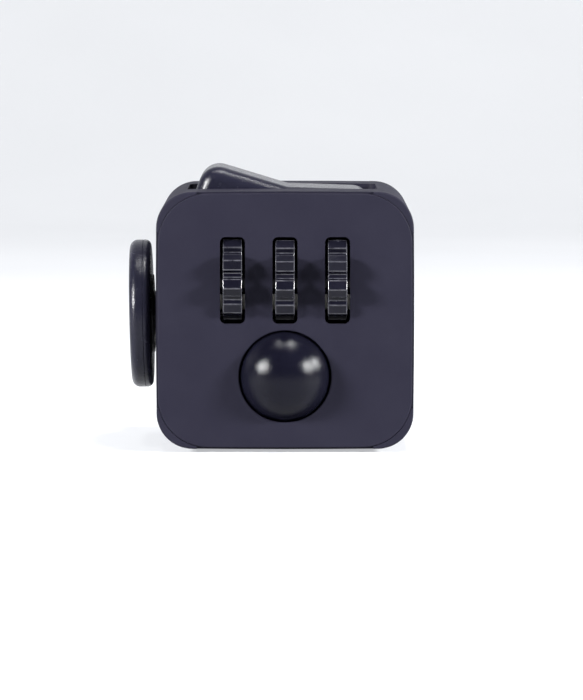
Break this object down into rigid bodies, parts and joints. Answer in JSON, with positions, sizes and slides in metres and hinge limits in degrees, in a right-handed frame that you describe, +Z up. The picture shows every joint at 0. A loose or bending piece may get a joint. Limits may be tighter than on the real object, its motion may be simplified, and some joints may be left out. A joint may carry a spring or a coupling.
{
  "type": "fidget cube",
  "caption": "Pocket desk cube with a fingertip toy on each face: thumb gears and roller ball, joystick, rocker, thumb dish, spin dial and click buttons.",
  "frame": {"origin": "middle of the plane the cube stands on, which is the flat tip of the middle click button", "axes": "+Z up to the rocker face, -Y to the gear and ball face, -X to the joystick face, +X to the thumb dish, +Y to the spin dial"},
  "size_m": [0.0368, 0.0393, 0.0362],
  "materials": {
    "shell_plastic": "soft-touch matte",
    "gear_plastic": "polished",
    "ball_plastic": "semi-gloss",
    "joystick_plastic": "satin",
    "rocker_plastic": "satin",
    "dial_plastic": "satin",
    "button_plastic": "satin",
    "inner_plastic": "moulded",
    "pin_steel": "ground",
    "spring_steel": "rolled",
    "screw_steel": "zinc plated",
    "pad_rubber": "soft"
  },
  "bodies": {
    "shell": {"shell_ring": "shell_plastic", "front_cover": "shell_plastic", "back_cover": "shell_plastic", "gear_axle": "pin_steel", "gear_carrier": "inner_plastic", "gear_click_spring": "spring_steel", "gear_carrier_screws": "screw_steel", "ball_snap_dome": "spring_steel", "ball_housing": "inner_plastic", "ball_housing_screws": "screw_steel", "joystick_housing": "inner_plastic", "joystick_follower": "inner_plastic", "joystick_spring": "spring_steel", "joystick_screws": "screw_steel", "rocker_pin": "pin_steel", "rocker_cradle": "inner_plastic", "rocker_plunger": "inner_plastic", "rocker_plunger_spring": "spring_steel", "rocker_cradle_screws": "screw_steel", "click_plate": "inner_plastic", "click_plate_screws": "screw_steel", "snap_dome_front_left": "spring_steel", "snap_dome_back_right": "spring_steel", "snap_dome_middle": "spring_steel", "quiet_pad_front_right": "pad_rubber", "quiet_pad_back_left": "pad_rubber"},
    "left_gear": {"gear_left": "gear_plastic"},
    "middle_gear": {"gear_middle": "gear_plastic"},
    "right_gear": {"gear_right": "gear_plastic"},
    "seat": {"ball_seat": "inner_plastic"},
    "ball": {"roller_ball": "ball_plastic"},
    "gimbal": {"joystick_gimbal_ring": "inner_plastic", "joystick_gimbal_pins": "pin_steel"},
    "joystick": {"joystick_disc": "joystick_plastic", "joystick_stem": "joystick_plastic", "joystick_pin": "pin_steel"},
    "rocker": {"flip_rocker": "rocker_plastic"},
    "dial": {"spin_dial": "dial_plastic", "dial_screw": "screw_steel", "dial_washer": "pin_steel"},
    "front_left_button": {"button_front_left": "button_plastic"},
    "front_right_button": {"button_front_right": "button_plastic"},
    "back_left_button": {"button_back_left": "button_plastic"},
    "back_right_button": {"button_back_right": "button_plastic"},
    "middle_button": {"button_middle": "button_plastic"}
  },
  "joints": [
    {"name": "left_gear_roll", "type": "hinge", "parent": "shell", "child": "left_gear", "pos_m": [-0.0067, -0.01325, 0.02205], "axis": [1, 0, 0], "continuous": true},
    {"name": "middle_gear_roll", "type": "hinge", "parent": "shell", "child": "middle_gear", "pos_m": [0, -0.01325, 0.02205], "axis": [1, 0, 0], "continuous": true},
    {"name": "right_gear_roll", "type": "hinge", "parent": "shell", "child": "right_gear", "pos_m": [0.0067, -0.01325, 0.02205], "axis": [1, 0, 0], "continuous": true},
    {"name": "ball_press", "type": "slide", "parent": "shell", "child": "seat", "axis": [0, 1, 0], "range_m": [0, 0.0006], "stiffness_N_per_m": 2000, "deforming": ["ball_snap_dome"]},
    {"name": "ball_roll", "type": "hinge", "parent": "seat", "child": "ball", "pos_m": [0, -0.0142, 0.00975], "axis": [1, 0, 0], "continuous": true},
    {"name": "joystick_tilt_up_down", "type": "hinge", "parent": "shell", "child": "gimbal", "pos_m": [-0.008, 0, 0.0169], "axis": [0, 1, 0], "range_deg": [-2.1, 4.1], "stiffness_Nm_per_rad": 0.03},
    {"name": "joystick_tilt_front_back", "type": "hinge", "parent": "gimbal", "child": "joystick", "pos_m": [-0.008, 0, 0.0169], "axis": [-0.0175, 0, 0.9998], "range_deg": [-3.1, 3.1], "stiffness_Nm_per_rad": 0.03},
    {"name": "rocker_flip", "type": "hinge", "parent": "shell", "child": "rocker", "pos_m": [-0.00035, 0, 0.0298], "axis": [0, -1, 0], "range_deg": [0, 18.8]},
    {"name": "dial_spin", "type": "hinge", "parent": "shell", "child": "dial", "pos_m": [0, 0.0165, 0.0169], "axis": [0, 1, 0], "continuous": true},
    {"name": "front_left_button_press", "type": "slide", "parent": "shell", "child": "front_left_button", "axis": [0, 0, 1], "range_m": [0, 0.0007], "stiffness_N_per_m": 2000, "deforming": ["snap_dome_front_left"]},
    {"name": "front_right_button_press", "type": "slide", "parent": "shell", "child": "front_right_button", "axis": [0, 0, 1], "range_m": [0, 0.0007], "stiffness_N_per_m": 2000, "deforming": ["quiet_pad_front_right"]},
    {"name": "back_left_button_press", "type": "slide", "parent": "shell", "child": "back_left_button", "axis": [0, 0, 1], "range_m": [0, 0.0007], "stiffness_N_per_m": 2000, "deforming": ["quiet_pad_back_left"]},
    {"name": "back_right_button_press", "type": "slide", "parent": "shell", "child": "back_right_button", "axis": [0, 0, 1], "range_m": [0, 0.0007], "stiffness_N_per_m": 2000, "deforming": ["snap_dome_back_right"]},
    {"name": "middle_button_press", "type": "slide", "parent": "shell", "child": "middle_button", "axis": [0, 0, 1], "range_m": [0, 0.0007], "stiffness_N_per_m": 2000, "deforming": ["snap_dome_middle"]}
  ]
}
